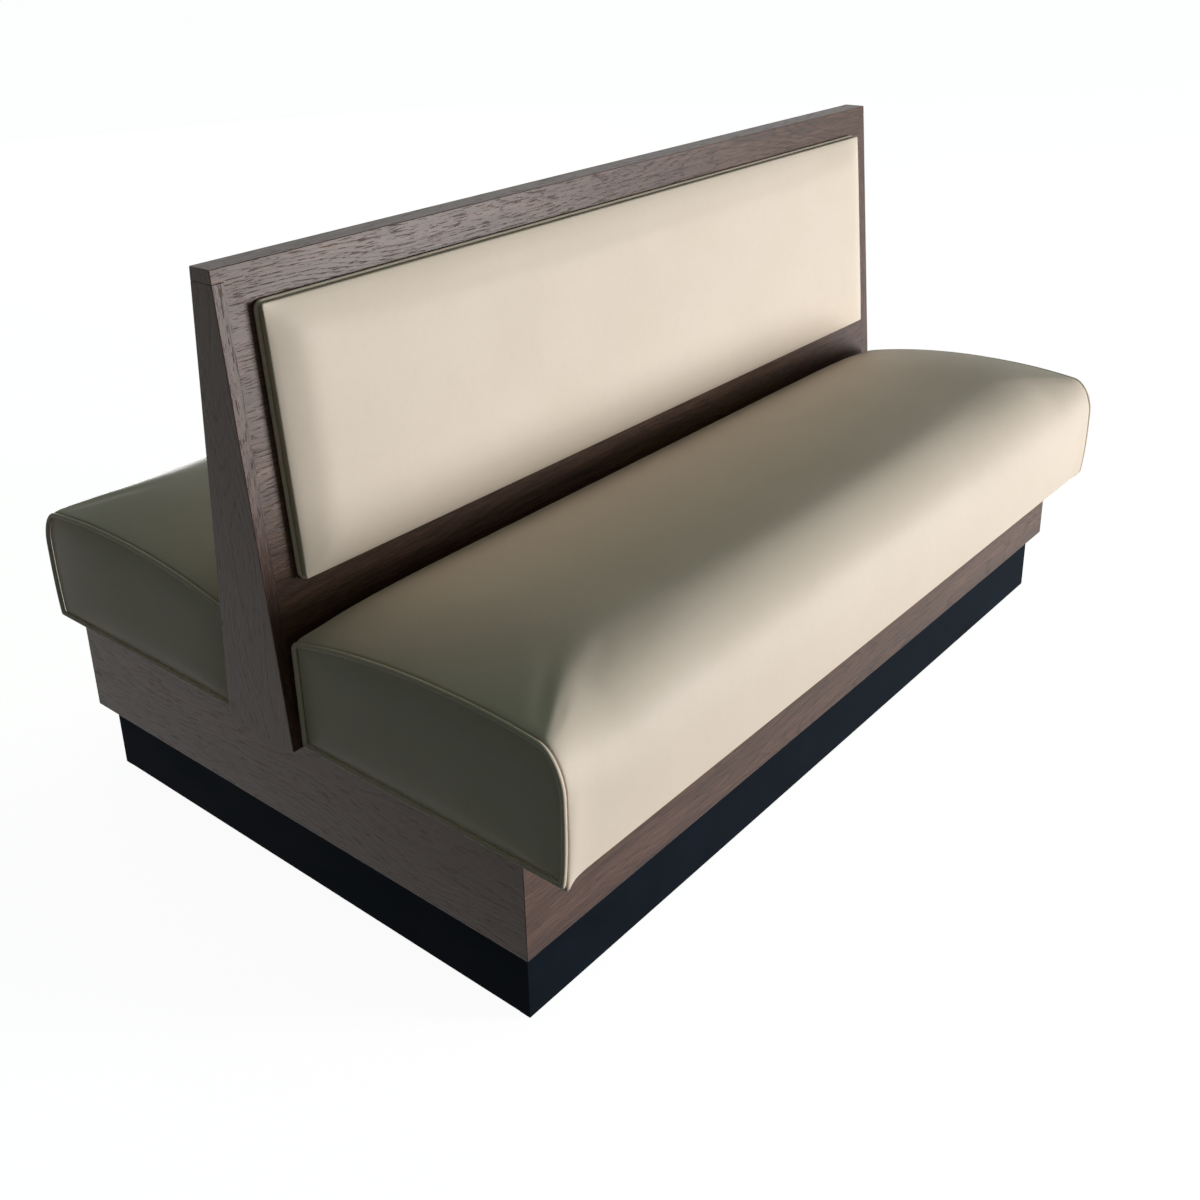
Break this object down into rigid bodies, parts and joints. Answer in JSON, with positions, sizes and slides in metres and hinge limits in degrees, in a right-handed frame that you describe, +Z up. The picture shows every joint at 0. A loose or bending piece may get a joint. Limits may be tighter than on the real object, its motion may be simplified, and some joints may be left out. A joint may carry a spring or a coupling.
{
  "type": "double-sided banquette bench",
  "caption": "Double-sided upholstered banquette: thick piped vinyl seats and back pads on an oak-veneered base box and tapered back, over a dark recessed plinth.",
  "frame": {"origin": "centre of the plinth's underside, on the floor", "axes": "+X along the bench's length, -Y towards the front seat, +Y towards the rear seat, +Z up"},
  "size_m": [1.56, 1.091, 0.915],
  "materials": {
    "oak": "brown-stained oak veneer, satin lacquer",
    "plinth": "near-black laminated board, matte",
    "vinyl": "cream upholstery vinyl, smooth with a low sheen",
    "plywood": "bare birch plywood",
    "pine": "bare planed softwood",
    "foam": "open-cell upholstery foam",
    "steel": "zinc-plated steel",
    "plastic": "black moulded nylon"
  },
  "bodies": {
    "bench": {"plinth_front_board": "plinth", "plinth_rear_board": "plinth", "plinth_left_board": "plinth", "plinth_right_board": "plinth", "plinth_left_bearer": "plywood", "plinth_right_bearer": "plywood", "front_left_foot_block": "pine", "front_right_foot_block": "pine", "rear_left_foot_block": "pine", "rear_right_foot_block": "pine", "foot_inserts": "steel", "base_front_board": "oak", "base_rear_board": "oak", "base_left_board": "oak", "base_right_board": "oak", "base_left_rib": "plywood", "base_right_rib": "plywood", "base_front_plank": "plywood", "base_centre_plank": "plywood", "base_rear_plank": "plywood", "base_front_sill": "plywood", "base_rear_sill": "plywood", "left_gable": "oak", "right_gable": "oak", "top_cap": "oak", "front_back_panel": "oak", "rear_back_panel": "oak", "back_top_rail": "pine", "back_sole_plate": "plywood", "back_left_stud": "pine", "back_middle_stud": "pine", "back_right_stud": "pine", "back_dowels": "pine", "back_bolts": "steel", "back_tee_nuts": "steel", "front_seat_board": "plywood", "front_seat_foam": "foam", "front_seat_cover": "vinyl", "front_seat_left_piping": "vinyl", "front_seat_right_piping": "vinyl", "rear_seat_board": "plywood", "rear_seat_foam": "foam", "rear_seat_cover": "vinyl", "rear_seat_left_piping": "vinyl", "rear_seat_right_piping": "vinyl", "seat_screws": "steel", "front_pad_board": "plywood", "front_pad_foam": "foam", "front_pad_cover": "vinyl", "front_pad_piping": "vinyl", "rear_pad_board": "plywood", "rear_pad_foam": "foam", "rear_pad_cover": "vinyl", "rear_pad_piping": "vinyl", "pad_buttons": "plastic"},
    "front_left_foot": {"front_left_foot": "steel"},
    "front_right_foot": {"front_right_foot": "steel"},
    "rear_left_foot": {"rear_left_foot": "steel"},
    "rear_right_foot": {"rear_right_foot": "steel"}
  },
  "joints": [
    {"name": "front_left_foot_screw", "type": "slide", "parent": "bench", "child": "front_left_foot", "axis": [0, 0, -1], "range_m": [0, 0.012]},
    {"name": "front_right_foot_screw", "type": "slide", "parent": "bench", "child": "front_right_foot", "axis": [0, 0, -1], "range_m": [0, 0.012]},
    {"name": "rear_left_foot_screw", "type": "slide", "parent": "bench", "child": "rear_left_foot", "axis": [0, 0, -1], "range_m": [0, 0.012]},
    {"name": "rear_right_foot_screw", "type": "slide", "parent": "bench", "child": "rear_right_foot", "axis": [0, 0, -1], "range_m": [0, 0.012]}
  ]
}
